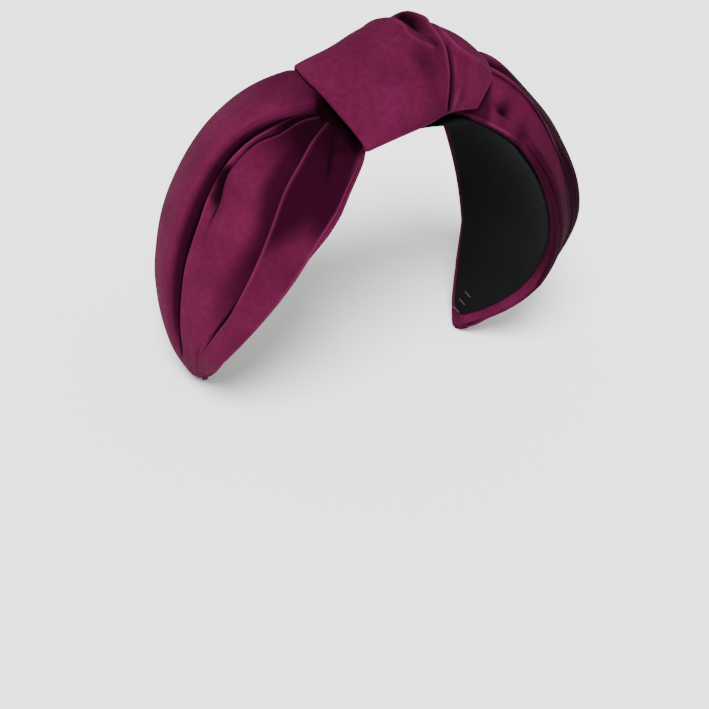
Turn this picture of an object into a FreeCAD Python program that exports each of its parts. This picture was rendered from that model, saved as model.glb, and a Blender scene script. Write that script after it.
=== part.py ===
"""Knotted velvet headband, built as its separate layers.

Frame: +Z up, the wearer faces -Y and +X is the wearer's left. The origin is the head seat, the
highest point of the lining's inner face. The band's seat line is a half circle over the crown,
then on each side a larger arc that curls in towards the tip. A layer's height is its distance
outwards from that seat line, and a station is a distance along it from the crown.
"""
import FreeCAD, Part
import math
import os

Vector = FreeCAD.Vector

# Driving dimensions: millimetres and degrees.
DIMENSIONS = {
    "seat_radius": 68.0,        # crown arc of the lining's inner face
    "arm_radius": 84.0,         # arc of each arm below the widest point
    "arm_sweep": 32.0,          # how far that arc runs, to the end of the sleeve
    "right_mouth": 26.0,        # angle from the crown where the right wing leaves the knot
    "left_mouth": 21.5,
    "joint_gap": 0.5,           # between the core's crown and its arms
    "mouth_gap": 1.6,           # between the knot and the soft layers of a wing
    "lining_thickness": 0.8,
    "lining_margin": 5.0,       # how far the lining stays inside the wing's edge
    "seam_height": 0.85,        # the sleeve's seam lies between lining and under ply
    "seam_thickness": 0.4,
    "seam_width": 1.2,
    "under_height": 1.4,
    "ply_thickness": 1.2,
    "core_height": 3.0,
    "core_thickness": 2.0,
    "core_width": 26.0,
    "core_tip_width": 9.0,
    "core_end_gap": 2.0,        # the core stops this short of the sleeve's end
    "core_tip_depth": 113.0,    # depth below the seat where the core reaches its tip width
    "layer_gap": 0.2,
    "outer_height": 10.7,       # velvet's outer face over the middle of a wing
    "outer_tip_height": 8.2,
    "edge_height": 2.8,         # highest that the outer ply's edges may stand above the seat
    "cross_radius": 54.0,       # the wing's roundness from front edge to back edge
    "wing_w0": 28.0,            # half-widths of a wing from mouth to tip
    "wing_w1": 38.0,
    "wing_w2": 42.5,
    "wing_w3": 39.5,
    "wing_w4": 21.5,
    "wing_w5": 7.0,
    "wadding_inset": 3.0,
    "tuck_length": 4.5,
    "wrap_split": 10.0,         # angle where the main wrap ends and the second wrap starts
    "wrap_top_angle": -3.0,     # angle of the knot's highest point
    "wrap_height": 30.0,        # outer face of the knot above the seat, there
    "wrap_mouth_height": 19.0,
    "second_height": 24.0,
    "second_mouth_height": 19.0,
    "wrap_half_width": 32.0,
    "wrap_mouth_half_width": 29.5,
    "second_half_width": 28.0,
    "second_mouth_half_width": 26.0,
    "wrap_thickness": 4.0,
    "wrap_under": 1.1,          # underside of the wraps, above the lining
    "thread_radius": 0.3,
    "stitch_length": 4.0,
    "stitch_spacing": 6.0,
}
WING_STATIONS = (0.0, 0.12, 0.32, 0.55, 0.80, 1.0)     # of the wing's length, for wing_w0 to w5
WING_SECTIONS = 13
WRAP_SECTIONS = 6
RIGHT = -1
LEFT = 1
SIDE_NAMES = {RIGHT: "right", LEFT: "left"}

doc = FreeCAD.newDocument("knotted_headband")
sheet = doc.addObject("Spreadsheet::Sheet", "Dimensions")
for row, (alias, value) in enumerate(DIMENSIONS.items(), start=1):
    sheet.set(f"A{row}", alias)
    sheet.set(f"B{row}", str(value))
    sheet.setAlias(f"B{row}", alias)
doc.recompute()


def size(alias):
    """A driving dimension, as the sheet holds it."""
    return float(getattr(sheet, alias))


def bind(thing, **expressions):
    """Bind properties of an object to sheet cells; every bare alias becomes a sheet reference."""
    for prop, text in expressions.items():
        words = text.split(" ")
        linked = " ".join(f"Dimensions.{word}" if word in DIMENSIONS else word for word in words)
        thing.setExpression(prop.replace("__", "."), linked)


def feature(name, shape):
    """A named sub-part whose shape comes from Part's own functions."""
    thing = doc.addObject("Part::Feature", name)
    thing.Shape = shape
    thing.Placement = FreeCAD.Placement()
    thing.Label = name
    return thing


# The band's seat line -------------------------------------------------------------------------

def mouth_angle(side):
    return size("right_mouth") if side == RIGHT else size("left_mouth")


def quarter_length():
    return size("seat_radius") * math.pi / 2


def sleeve_end():
    """Station at the end of the sleeve."""
    return quarter_length() + size("arm_radius") * math.radians(size("arm_sweep"))


def mouth_station(side):
    """Station where a wing's soft layers start."""
    return size("seat_radius") * math.radians(mouth_angle(side)) + size("mouth_gap")


def seat_frame(side, station):
    """Seat point and outward normal at a station of one side."""
    crown = size("seat_radius")
    arm = size("arm_radius")
    if station <= quarter_length():
        angle = station / crown
        point = Vector(crown * math.sin(angle), 0, crown * math.cos(angle) - crown)
        normal = Vector(math.sin(angle), 0, math.cos(angle))
    else:
        angle = (station - quarter_length()) / arm
        point = Vector(crown - arm + arm * math.cos(angle), 0, -crown - arm * math.sin(angle))
        normal = Vector(math.cos(angle), 0, -math.sin(angle))
    return Vector(side * point.x, 0, point.z), Vector(side * normal.x, 0, normal.z)


def place(side, station, across, height):
    """A point by station, distance across the band (+Y) and height above the seat."""
    point, normal = seat_frame(side, station)
    return point + normal * height + Vector(0, across, 0)


# Wing outline ---------------------------------------------------------------------------------

def wing_half_width(fraction):
    """Half-width of the leaf-shaped wing: a smooth curve through its six stations."""
    widths = [size(f"wing_w{index}") for index in range(len(WING_STATIONS))]
    last = len(WING_STATIONS) - 1
    slopes = []
    for index in range(last + 1):
        before = max(index - 1, 0)
        after = min(index + 1, last)
        run = WING_STATIONS[after] - WING_STATIONS[before]
        slopes.append((widths[after] - widths[before]) / run)
    index = max(i for i in range(last) if WING_STATIONS[i] <= fraction)
    run = WING_STATIONS[index + 1] - WING_STATIONS[index]
    part = (fraction - WING_STATIONS[index]) / run
    rise = part * part * (3 - 2 * part)
    enter = run * slopes[index] * part * (1 - part) ** 2
    leave = run * slopes[index + 1] * part * part * (part - 1)
    return widths[index] + (widths[index + 1] - widths[index]) * rise + enter + leave


def wing_rows(side):
    """(station, half-width, outer height, outer ply's edge height) at each section of a wing."""
    start = mouth_station(side)
    rows = []
    for index in range(WING_SECTIONS):
        fraction = index / (WING_SECTIONS - 1)
        station = start + fraction * (sleeve_end() - start)
        height = size("outer_height")
        height += (size("outer_tip_height") - height) * fraction ** 3
        half = wing_half_width(fraction)
        drop = half * half / (2 * size("cross_radius"))
        edge = min(height - size("ply_thickness") - drop, size("edge_height"))
        rows.append((station, half, height, edge))
    return rows


def under_height_at(across, half, edge):
    """Lower face of the under ply at a distance across, where its edge meets the outer ply."""
    middle = size("under_height")
    foot = min(edge - size("layer_gap") - size("ply_thickness"), middle - size("layer_gap"))
    return middle + (foot - middle) * (across / half) ** 2


# Sections and lofts ---------------------------------------------------------------------------

def crescent(side, station, half, top, edge, thickness):
    """A curved strip's section: an arc over, an arc under and two short ends.

    top is the upper face's height in the middle, edge its height at the ends.
    """
    a = place(side, station, -half, edge)
    b = place(side, station, half, edge)
    c = place(side, station, half, edge - thickness)
    d = place(side, station, -half, edge - thickness)
    over = place(side, station, 0, top)
    under = place(side, station, 0, top - thickness)
    return Part.Wire([
        Part.Arc(a, over, b).toShape(),
        Part.LineSegment(b, c).toShape(),
        Part.Arc(c, under, d).toShape(),
        Part.LineSegment(d, a).toShape(),
    ])


def dome(side, station, half, top, base):
    """A D-shaped section: a high arc over a flat base."""
    a = place(side, station, -half, base)
    b = place(side, station, half, base)
    over = place(side, station, 0, top)
    return Part.Wire([Part.Arc(a, over, b).toShape(), Part.LineSegment(b, a).toShape()])


def notched(side, station, heights, notch_half, notch_top):
    """A wadding's section: arc over, two arcs under, and a notch that straddles the core.

    heights gives its half-width, then its top, edge, low edge, quarter and foot heights.
    """
    half, top, edge, low, quarter, foot = heights
    middle = (half + notch_half) / 2
    a = place(side, station, -half, edge)
    b = place(side, station, half, edge)
    corners = [
        place(side, station, half, low),
        place(side, station, notch_half, foot),
        place(side, station, notch_half, notch_top),
        place(side, station, -notch_half, notch_top),
        place(side, station, -notch_half, foot),
        place(side, station, -half, low),
    ]
    return Part.Wire([
        Part.Arc(a, place(side, station, 0, top), b).toShape(),
        Part.LineSegment(b, corners[0]).toShape(),
        Part.Arc(corners[0], place(side, station, middle, quarter), corners[1]).toShape(),
        Part.LineSegment(corners[1], corners[2]).toShape(),
        Part.LineSegment(corners[2], corners[3]).toShape(),
        Part.LineSegment(corners[3], corners[4]).toShape(),
        Part.Arc(corners[4], place(side, station, -middle, quarter), corners[5]).toShape(),
        Part.LineSegment(corners[5], a).toShape(),
    ])


def loft(wires):
    """A closed solid through planar sections."""
    return Part.makeLoft(wires, True, False)


# Core -----------------------------------------------------------------------------------------

def sector(name, centre, start, sweep, inner, outer, width):
    """An arc-shaped strip along Y: a cylinder sector less a smaller one.

    centre is the expression of its axis's X, start the angle from +Z towards +X where it begins.
    """
    upright = FreeCAD.Rotation(Vector(0, 0, 1), Vector(1, 0, 0), Vector(0, 1, 0), "ZXY")
    discs = []
    for part, radius in (("outer", outer), ("inner", inner)):
        disc = doc.addObject("Part::Cylinder", f"{name}_{part}")
        turn = FreeCAD.Rotation(Vector(0, 1, 0), start) * upright
        disc.Placement = FreeCAD.Placement(Vector(0, 0, 0), turn)
        bind(disc, Radius=radius, Height=width, Angle=sweep, Placement__Base__x=centre,
             Placement__Base__y=f"-1 * {width} / 2", Placement__Base__z="-1 * seat_radius")
        discs.append(disc)
    strip = doc.addObject("Part::Cut", name)
    strip.Base, strip.Tool = discs
    strip.Label = name
    return strip


def gap_angle():
    """Half the core's joint gap, as an angle at the seat."""
    return math.degrees(size("joint_gap") / 2 / size("seat_radius"))


def core_crown():
    """The stiff strip's middle stretch, inside the knot."""
    start = -size("right_mouth") + gap_angle()
    sweep = f"right_mouth + left_mouth - {2 * gap_angle()}"
    inner = "seat_radius + core_height"
    return sector("core_crown", "0 * seat_radius", start, sweep, inner,
                  f"{inner} + core_thickness", "core_width")


def core_arm(side):
    """One arm of the stiff strip: a crown stretch and an arm stretch, tapered to a narrow tip."""
    label = SIDE_NAMES[side]
    mouth = f"{label}_mouth"
    inner = "seat_radius + core_height"
    crown_sweep = f"90 - {mouth} - {gap_angle()}"
    crown_start = mouth_angle(side) + gap_angle() if side == LEFT else -90.0
    upper = sector(f"core_{label}_upper", "0 * seat_radius", crown_start, crown_sweep, inner,
                   f"{inner} + core_thickness", "core_width")
    end_angle = math.degrees(size("core_end_gap") / size("arm_radius"))
    arm_sweep = f"arm_sweep - {end_angle}"
    arm_start = 90.0 if side == LEFT else -90.0 - size("arm_sweep") + end_angle
    inner = "arm_radius + core_height"
    lower = sector(f"core_{label}_lower", f"{side} * ( seat_radius - arm_radius )", arm_start,
                   arm_sweep, inner, f"{inner} + core_thickness", "core_width")
    strip = doc.addObject("Part::MultiFuse", f"core_{label}_strip")
    strip.Shapes = [upper, lower]
    taper = doc.addObject("Part::Wedge", f"core_{label}_taper")
    taper.Placement.Rotation = FreeCAD.Rotation(
        Vector(0, 1, 0), Vector(0, 0, 1), Vector(1, 0, 0), "ZXY")
    slope = "( core_width - core_tip_width ) / ( 2 * core_tip_depth - 2 * seat_radius )"
    half_top = f"core_tip_width / 2 + {slope} * ( core_tip_depth + seat_radius / 4 )"
    bind(taper, Ymin="-1 * core_tip_depth", Ymax="seat_radius / 4",
         Xmin="-1 * core_tip_width / 2", Xmax="core_tip_width / 2",
         X2min=f"-1 * ( {half_top} )", X2max=half_top,
         Zmin="-2 * seat_radius", Zmax="2 * seat_radius",
         Z2min="-2 * seat_radius", Z2max="2 * seat_radius")
    arm = doc.addObject("Part::Common", f"core_{label}_arm")
    arm.Base = strip
    arm.Tool = taper
    arm.Label = f"core_{label}_arm"
    return arm


# Wings ----------------------------------------------------------------------------------------

def core_half_width(station):
    """The core's half-width at a station."""
    depth = -seat_frame(LEFT, station)[0].z
    slope = (size("core_width") - size("core_tip_width")) / 2
    slope /= size("core_tip_depth") - size("seat_radius")
    narrowed = size("core_tip_width") / 2 + slope * (size("core_tip_depth") - depth)
    return min(size("core_width") / 2, narrowed)


def outer_ply(side):
    """The velvet over a wing."""
    thick = size("ply_thickness")
    rows = [crescent(side, station, half, top, edge + thick, thick)
            for station, half, top, edge in wing_rows(side)]
    return feature(f"{SIDE_NAMES[side]}_outer_ply", loft(rows))


def under_ply(side):
    """The velvet under a wing, joined to the outer ply along both edges."""
    thick = size("ply_thickness")
    rows = []
    for station, half, _, edge in wing_rows(side):
        foot = under_height_at(half, half, edge)
        rows.append(crescent(side, station, half, size("under_height") + thick, foot + thick, thick))
    return feature(f"{SIDE_NAMES[side]}_under_ply", loft(rows))


def wadding(side):
    """The thin batting that rounds a wing, above the core."""
    gap = size("layer_gap")
    thick = size("ply_thickness")
    notch_top = size("core_height") + size("core_thickness") + gap
    rows = []
    for station, half, top, edge in wing_rows(side)[:-1]:
        inset = size("wadding_inset") * half / size("wing_w2")
        width = half - inset
        notch = min(core_half_width(station) + 0.8, width - 1.5)
        under = [under_height_at(across, half, edge) + thick + 2 * gap
                 for across in (width, (width + notch) / 2, notch)]
        ceiling = top - thick - gap
        edge_top = ceiling + (edge - ceiling) * (width / half) ** 2
        edge_top = max(edge_top, under[0] + gap)
        heights = (width, ceiling, edge_top, *under)
        rows.append(notched(side, station, heights, notch, notch_top))
    return feature(f"{SIDE_NAMES[side]}_wadding", loft(rows))


def lining_arm(side):
    """The black facing glued inside a wing, against the head."""
    thick = size("lining_thickness")
    rows = []
    for station, half, _, edge in wing_rows(side):
        width = max(half - size("lining_margin"), half * 0.75)
        foot = under_height_at(width, half, edge) - size("under_height")
        rows.append(crescent(side, station, width, thick, thick + foot, thick))
    return feature(f"lining_{SIDE_NAMES[side]}_arm", loft(rows))


def tube_seam(side):
    """The sleeve's sewn lengthwise seam, hidden under the lining."""
    thick = size("seam_thickness")
    top = size("seam_height") + thick
    rows = [crescent(side, station, size("seam_width") / 2, top, top - 0.01, thick)
            for station, *_ in wing_rows(side)[:-1]]
    return feature(f"{SIDE_NAMES[side]}_tube_seam", loft(rows))


def along_arm(side, station, height):
    """Placement whose -Z runs down the arm and whose Y is the band's width."""
    point, normal = seat_frame(side, station)
    up = Vector(0, 0, 1)
    tangent = normal.cross(Vector(0, side, 0))
    if tangent.dot(up) > 0:
        tangent = -tangent
    turn = FreeCAD.Rotation(normal, Vector(0, 1, 0), -tangent, "ZYX")
    return FreeCAD.Placement(point + normal * height, turn)


def tip_tuck(side):
    """The sleeve's folded-in end: a rounded half pad that closes the tip."""
    tuck = doc.addObject("Part::Ellipsoid", f"{SIDE_NAMES[side]}_tip_tuck")
    tuck.Angle1 = -90
    tuck.Angle2 = 0
    middle = size("outer_tip_height") / 2
    tuck.Placement = along_arm(side, sleeve_end() + size("layer_gap"), middle)
    bind(tuck, Radius1="tuck_length", Radius2="outer_tip_height / 2", Radius3="wing_w5")
    tuck.Label = tuck.Name
    return tuck


def stitch_row(name, placements):
    """Short straight stitches, one thread each, grouped in one node."""
    stitches = []
    for index, placement in enumerate(placements):
        stitch = doc.addObject("Part::Cylinder", f"{name}_{index}")
        stitch.Placement = placement
        bind(stitch, Radius="thread_radius", Height="stitch_length")
        stitches.append(stitch)
    row = doc.addObject("Part::Compound", name)
    row.Links = stitches
    row.Label = name
    return row


def tip_stitches(side):
    """The slip stitches that close the tuck, on the head side of the tip."""
    lay = FreeCAD.Rotation(Vector(1, 0, 0), -90)
    depth = -size("thread_radius") - size("layer_gap")
    placements = []
    for index in range(3):
        station = sleeve_end() - size("stitch_length") * (0.5 + index)
        point = place(side, station, -size("stitch_length") / 2, depth)
        placements.append(FreeCAD.Placement(point, lay))
    return stitch_row(f"{SIDE_NAMES[side]}_tip_stitches", placements)


# Knot -----------------------------------------------------------------------------------------

def knot_profile(angle, low, high, mouth):
    """A knot dimension that is high at its top angle and low at the right mouth or at an end."""
    reach = (angle - size("wrap_top_angle")) / (mouth - size("wrap_top_angle"))
    return high - (high - low) * reach * reach


def main_profile(angle):
    """Half-width and height of the main wrap at an angle."""
    mouth = -size("right_mouth")
    half = knot_profile(angle, size("wrap_mouth_half_width"), size("wrap_half_width"), mouth)
    top = knot_profile(angle, size("wrap_mouth_height"), size("wrap_height"), mouth)
    return half, top


def second_profile(angle):
    """Half-width and height of the second wrap at an angle."""
    fraction = (angle - size("wrap_split")) / (size("left_mouth") - size("wrap_split"))
    half = size("second_half_width")
    half += (size("second_mouth_half_width") - half) * fraction
    top = size("second_height")
    top += (size("second_mouth_height") - top) * fraction
    return half, top


def knot_sections(profile, start, end, inset, base):
    """D-shaped sections between two angles, inside a profile by an inset."""
    wires = []
    for index in range(WRAP_SECTIONS):
        angle = start + (end - start) * index / (WRAP_SECTIONS - 1)
        half, top = profile(angle)
        station = size("seat_radius") * math.radians(abs(angle))
        side = LEFT if angle >= 0 else RIGHT
        wires.append(dome(side, station, half - inset, top - inset, base))
    return wires


def wrap(name, profile, start, end):
    """A band of velvet right round the core, between two angles: a thick D-shaped sleeve."""
    overrun = 1.0
    outside = loft(knot_sections(profile, start, end, 0, size("wrap_under")))
    hollow = size("core_height") - size("layer_gap")
    inside = loft(knot_sections(profile, start - overrun, end + overrun, size("wrap_thickness"),
                                hollow))
    return feature(name, outside.cut(inside))


def knot_main_wrap():
    """The wide pass of the knot, next to the right wing."""
    return wrap("knot_main_wrap", main_profile, -size("right_mouth") + 0.3, size("wrap_split"))


def knot_second_wrap():
    """The narrower pass, next to the left wing."""
    return wrap("knot_second_wrap", second_profile, size("wrap_split") + 0.3,
                size("left_mouth") - 0.3)


def knot_wadding():
    """The gathered filling inside the knot, over the core."""
    base = size("core_height") + size("core_thickness") + size("layer_gap")
    inset = size("wrap_thickness") + 2.0
    wires = knot_sections(main_profile, -size("right_mouth") + 1.5, size("wrap_split") - 0.5,
                          inset, base)
    return feature("knot_wadding", loft(wires))


def lining_crown():
    """The facing's stretch under the knot."""
    start = -size("right_mouth") - 0.9
    sweep = "right_mouth + left_mouth + 1.8"
    width = "2 * ( wing_w0 - lining_margin )"
    return sector("lining_crown", "0 * seat_radius", start, sweep, "seat_radius * 1",
                  "seat_radius + lining_thickness", width)


def knot_tack_stitches():
    """The tacks that hold the knot to the lining, on the head side."""
    lay = FreeCAD.Rotation(Vector(1, 0, 0), -90)
    depth = -size("thread_radius") - 0.1
    placements = []
    for step in (-1.5, -0.5, 0.5, 1.5):
        side = LEFT if step > 0 else RIGHT
        station = abs(step) * size("stitch_spacing")
        for row in (-1, 1):
            across = row * size("core_width") / 2 - size("stitch_length") / 2
            placements.append(FreeCAD.Placement(place(side, station, across, depth), lay))
    return stitch_row("knot_tack_stitches", placements)


# The assembly ---------------------------------------------------------------------------------

nodes = [core_crown(), lining_crown(), knot_main_wrap(), knot_second_wrap(), knot_wadding(),
         knot_tack_stitches()]
for hand in (RIGHT, LEFT):
    nodes += [core_arm(hand), lining_arm(hand), under_ply(hand), wadding(hand), outer_ply(hand),
              tube_seam(hand), tip_tuck(hand), tip_stitches(hand)]
doc.recompute()

for thing in doc.Objects:
    if "Invalid" in thing.State or "Error" in thing.State:
        raise RuntimeError(f"{thing.Name} failed: {thing.State}")
for node in nodes:
    if node.Shape.isNull() or not node.Shape.isValid() or node.Shape.Volume <= 0:
        raise RuntimeError(f"{node.Label} has no valid shape")
    node.Shape.exportStep(f"parts/{node.Label}.step")
    box = node.Shape.BoundBox
    print(f"{node.Label}: {node.Shape.Volume:.0f} mm3, {len(node.Shape.Solids)} solids, "
          f"x {box.XMin:.1f}..{box.XMax:.1f} y {box.YMin:.1f}..{box.YMax:.1f} "
          f"z {box.ZMin:.1f}..{box.ZMax:.1f}")
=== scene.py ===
"""Knotted velvet headband: cloth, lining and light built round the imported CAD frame.

Lengths in the shape code are millimetres and become metres in make_mesh. A point of the band is
given by its station, the distance along the seat line from the crown, by its distance across (+Y is
the back of the head) and by its height above the seat line.
"""
import math

import bpy
import numpy as np
from mathutils import Euler, Matrix, Vector


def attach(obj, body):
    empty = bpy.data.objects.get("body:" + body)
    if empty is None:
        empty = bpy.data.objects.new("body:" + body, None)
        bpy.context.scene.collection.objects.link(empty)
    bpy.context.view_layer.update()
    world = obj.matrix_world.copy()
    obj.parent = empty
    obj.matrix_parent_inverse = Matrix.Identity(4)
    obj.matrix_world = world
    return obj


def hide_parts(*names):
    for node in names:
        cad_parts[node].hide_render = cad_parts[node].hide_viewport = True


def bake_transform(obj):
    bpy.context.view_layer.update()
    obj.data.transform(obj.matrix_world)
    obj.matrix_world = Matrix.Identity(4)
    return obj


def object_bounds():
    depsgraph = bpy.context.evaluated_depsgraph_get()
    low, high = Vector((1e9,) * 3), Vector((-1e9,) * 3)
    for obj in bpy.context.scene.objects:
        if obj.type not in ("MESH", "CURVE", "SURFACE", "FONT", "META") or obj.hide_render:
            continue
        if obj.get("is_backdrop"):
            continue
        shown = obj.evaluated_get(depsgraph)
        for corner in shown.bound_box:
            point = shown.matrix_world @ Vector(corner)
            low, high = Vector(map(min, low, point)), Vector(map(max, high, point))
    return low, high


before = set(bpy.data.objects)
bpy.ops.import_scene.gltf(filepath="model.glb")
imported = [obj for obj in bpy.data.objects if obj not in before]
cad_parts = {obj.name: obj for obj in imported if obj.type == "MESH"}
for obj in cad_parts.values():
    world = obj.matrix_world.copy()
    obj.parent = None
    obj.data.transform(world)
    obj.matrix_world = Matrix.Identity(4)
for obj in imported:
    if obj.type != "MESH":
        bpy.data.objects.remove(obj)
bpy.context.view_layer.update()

MM = 0.001
RIGHT = -1
LEFT = 1
SIDE_NAMES = {RIGHT: "right", LEFT: "left"}

# The band's seat line, which the CAD plies follow: a half circle, then an arc down each arm.
SEAT_RADIUS = 68.0
ARM_RADIUS = 84.0
QUARTER = SEAT_RADIUS * math.pi / 2
SLEEVE_END = QUARTER + ARM_RADIUS * math.radians(32.0)
MOUTH_ANGLE = {RIGHT: 26.0, LEFT: 21.5}
MOUTH = {side: SEAT_RADIUS * math.radians(angle) for side, angle in MOUTH_ANGLE.items()}
TIP_ROUND = 4.5             # the sleeve's closed end runs on this far past SLEEVE_END
CLOTH = 0.8                 # thickness of the velvet


# Small maths ----------------------------------------------

def ramp(value, low, high):
    """0 below low, 1 above high and a smooth rise between them."""
    share = np.clip((value - low) / (high - low), 0.0, 1.0)
    return share * share * (3 - 2 * share)


def window(value, low, full_low, full_high, high):
    """Rises from low to full_low and falls from full_high to high."""
    return ramp(value, low, full_low) * (1 - ramp(value, full_high, high))


def hermite(share, run, start, end, enter, leave):
    """A cubic from start to end over run, with given slopes where it enters and leaves."""
    rise = share * share * (3 - 2 * share)
    return (start + (end - start) * rise + run * enter * share * (1 - share) ** 2
            + run * leave * share * share * (share - 1))


def through(points, value):
    """A smooth curve through (x, y) points, evaluated at an array of x."""
    xs = np.array([p[0] for p in points], float)
    ys = np.array([p[1] for p in points], float)
    slopes = np.gradient(ys, xs)
    place = np.clip(np.searchsorted(xs, value, side="right") - 1, 0, len(xs) - 2)
    run = xs[place + 1] - xs[place]
    share = np.clip((value - xs[place]) / run, 0.0, 1.0)
    return hermite(share, run, ys[place], ys[place + 1], slopes[place], slopes[place + 1])


def bell(value, width):
    """1 at zero, fading on both sides over width."""
    return np.exp(-(value / width) ** 2)


def waves(u, v, seed, octaves=3):
    """Soft seeded noise on two arrays, roughly -1 to 1: a sum of turned sines."""
    random = np.random.default_rng(seed)
    total = np.zeros(np.broadcast(u, v).shape)
    weight = 0.0
    for octave in range(octaves):
        strength = 0.6 ** octave
        for _ in range(4):
            turn = random.uniform(0, 2 * math.pi)
            rate = random.uniform(0.7, 1.3) * 1.9 ** octave
            phase = random.uniform(0, 2 * math.pi)
            total += strength * np.sin(rate * (u * math.cos(turn) + v * math.sin(turn)) + phase)
        weight += strength * 2
    return total / weight


# The band -------------------------------------------------

def band(side, station, across, height):
    """Points, in mm, from arrays of station, distance across and height."""
    station, across, height = np.broadcast_arrays(station, across, height)
    crown = station / SEAT_RADIUS
    arm = (station - QUARTER) / ARM_RADIUS
    on_crown = station <= QUARTER
    x = np.where(on_crown, (SEAT_RADIUS + height) * np.sin(crown),
                 SEAT_RADIUS - ARM_RADIUS + (ARM_RADIUS + height) * np.cos(arm))
    z = np.where(on_crown, (SEAT_RADIUS + height) * np.cos(crown) - SEAT_RADIUS,
                 -SEAT_RADIUS - (ARM_RADIUS + height) * np.sin(arm))
    return np.stack([side * x, across, z], axis=-1)


def wing_length(side):
    """Length of a wing's sleeve from the knot's mouth to its end."""
    return SLEEVE_END - MOUTH[side]


def station_at(side, fraction):
    """Station of a fraction of the wing: 0 at the knot's mouth, 1 at the end of the sleeve."""
    return MOUTH[side] + fraction * wing_length(side)


# Meshes ---------------------------------------------------

def add_object(name, data):
    """A new object of the scene that shows data."""
    item = bpy.data.objects.new(name, data)
    bpy.context.collection.objects.link(item)
    return item


def make_mesh(name, points, faces, material, masks):
    """A smooth-shaded object from points in mm, with per-point colour masks."""
    mesh = bpy.data.meshes.new(name)
    mesh.from_pydata((np.asarray(points, float) * MM).tolist(), [], faces)
    for mask, values in masks.items():
        layer = mesh.attributes.new(mask, "FLOAT", "POINT")
        layer.data.foreach_set("value", np.asarray(values, np.float32).ravel())
    mesh.polygons.foreach_set("use_smooth", [True] * len(mesh.polygons))
    mesh.materials.append(material)
    mesh.update()
    return add_object(name, mesh)


def grid_faces(rows, columns):
    """Quads of a grid of points, numbered row by row."""
    corner = np.arange(rows * columns).reshape(rows, columns)
    quads = [corner[:-1, :-1], corner[:-1, 1:], corner[1:, 1:], corner[1:, :-1]]
    return np.stack(quads, axis=-1).reshape(-1, 4)


def unit(vectors):
    """Vectors of length 1."""
    return vectors / np.maximum(np.linalg.norm(vectors, axis=-1, keepdims=True), 1e-9)


def normals_of(points):
    """Unit normals of a grid of points."""
    return unit(np.cross(np.gradient(points, axis=0), np.gradient(points, axis=1)))


def soften(values, times, axes=(0, 1)):
    """Averages a grid with its neighbours along some axes, edges kept."""
    for _ in range(times):
        for axis in axes:
            beside = (np.roll(values, 1, axis) + np.roll(values, -1, axis)) / 2
            inner = tuple(slice(1, -1) if k == axis else slice(None) for k in range(values.ndim))
            blended = values.copy()
            blended[inner] = (values[inner] + beside[inner]) / 2
            values = blended
    return values


def bending(points, side):
    """Curvature in 1/mm of a grid of points: positive over its ridges, negative in its valleys."""
    normal = soften(normals_of(points), 2) * side
    total = 0.0
    for axis in (0, 1):
        along = np.gradient(points, axis=axis)
        turn = np.sum(np.gradient(normal, axis=axis) * along, axis=-1)
        total = total + turn / np.maximum(np.sum(along * along, axis=-1), 0.01)
    return soften(total, 3)


# Curvature, in 1/mm, at which the painted ridge sheen and valley shade start and show in full.
RIDGE_BENDING = (0.18, 0.75)
VALLEY_BENDING = (0.05, 0.55)


def sheet_mesh(name, points, thickness, material, side, masks=None):
    """A closed sheet of cloth: a grid of outer points, an inner copy and the edges between.

    side tells which way the grid's normals face: out of the band for LEFT, into it for RIGHT.
    The masks may hold broad painted shade, where the pile lies away from the light or the cloth
    faces away from it, "shaded", the depth of a fold's painted shade, and where a ridge may show
    its painted sheen. Ridges get a painted sheen and valleys painted shade.
    """
    rows, columns = points.shape[:2]
    inner = points - unit(soften(normals_of(points), 2)) * thickness * side
    count = rows * columns
    top = grid_faces(rows, columns)
    below = top[:, ::-1] + count
    index = np.arange(count).reshape(rows, columns)
    rim = np.concatenate([index[0, :], index[1:, -1], index[-1, -2::-1], index[-2:0:-1, 0]])
    after = np.roll(rim, -1)
    walls = np.stack([rim, rim + count, after + count, after], axis=-1)
    faces = np.concatenate([top, below, walls])
    if side == LEFT:
        faces = faces[:, ::-1]
    everything = np.concatenate([points.reshape(-1, 3), inner.reshape(-1, 3)])
    bent = bending(points, side)
    masks = dict({"painted_sheen_allowed": 1.0, "shaded": 0.0}, **(masks or {}))
    shaded = masks.pop("shaded")
    # painted sheen on ridges, kept off painted shade; painted shade in valleys and where shaded
    masks["ridge"] = ramp(bent, *RIDGE_BENDING) * masks.pop("painted_sheen_allowed") * (1 - shaded)
    masks["valley"] = np.maximum(ramp(-bent, *VALLEY_BENDING), shaded)
    doubled = {name: np.concatenate([mask.ravel(), mask.ravel()]) for name, mask in masks.items()}
    return make_mesh(name, everything, faces.tolist(), material, doubled)


# Materials ------------------------------------------------

def new_material(name):
    """A new material and its tree of shader nodes."""
    material = bpy.data.materials.new(name)
    material.use_nodes = True
    return material, material.node_tree


def feed(tree, node, inputs):
    """Gives each input of a node a plain value or the output that it follows."""
    for name, value in inputs.items():
        if isinstance(value, bpy.types.NodeSocket):
            tree.links.new(value, node.inputs[name])
        else:
            node.inputs[name].default_value = value


def add_node(tree, kind, inputs, **settings):
    """A shader node with its settings and inputs. Returns its outputs."""
    node = tree.nodes.new("ShaderNode" + kind)
    for setting, value in settings.items():
        setattr(node, setting, value)
    feed(tree, node, inputs)
    return node.outputs


def mix_colours(tree, factor, low, high, mode="MIX"):
    """The mix of two colours by a factor."""
    inputs = {"Factor": factor, "A": low, "B": high}
    return add_node(tree, "Mix", inputs, data_type="RGBA", blend_type=mode)["Result"]


def noise(tree, scale, detail, rough=0.5):
    """The value of a noise texture that is fixed to the object."""
    place = add_node(tree, "TexCoord", {})["Object"]
    inputs = {"Vector": place, "Scale": scale, "Detail": detail, "Roughness": rough}
    return add_node(tree, "TexNoise", inputs)["Fac"]


def spread(tree, value, low, high):
    """Maps low..high to 0..1."""
    inputs = {"Value": value, "From Min": low, "From Max": high}
    return add_node(tree, "MapRange", inputs, interpolation_type="SMOOTHSTEP")["Result"]


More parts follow.
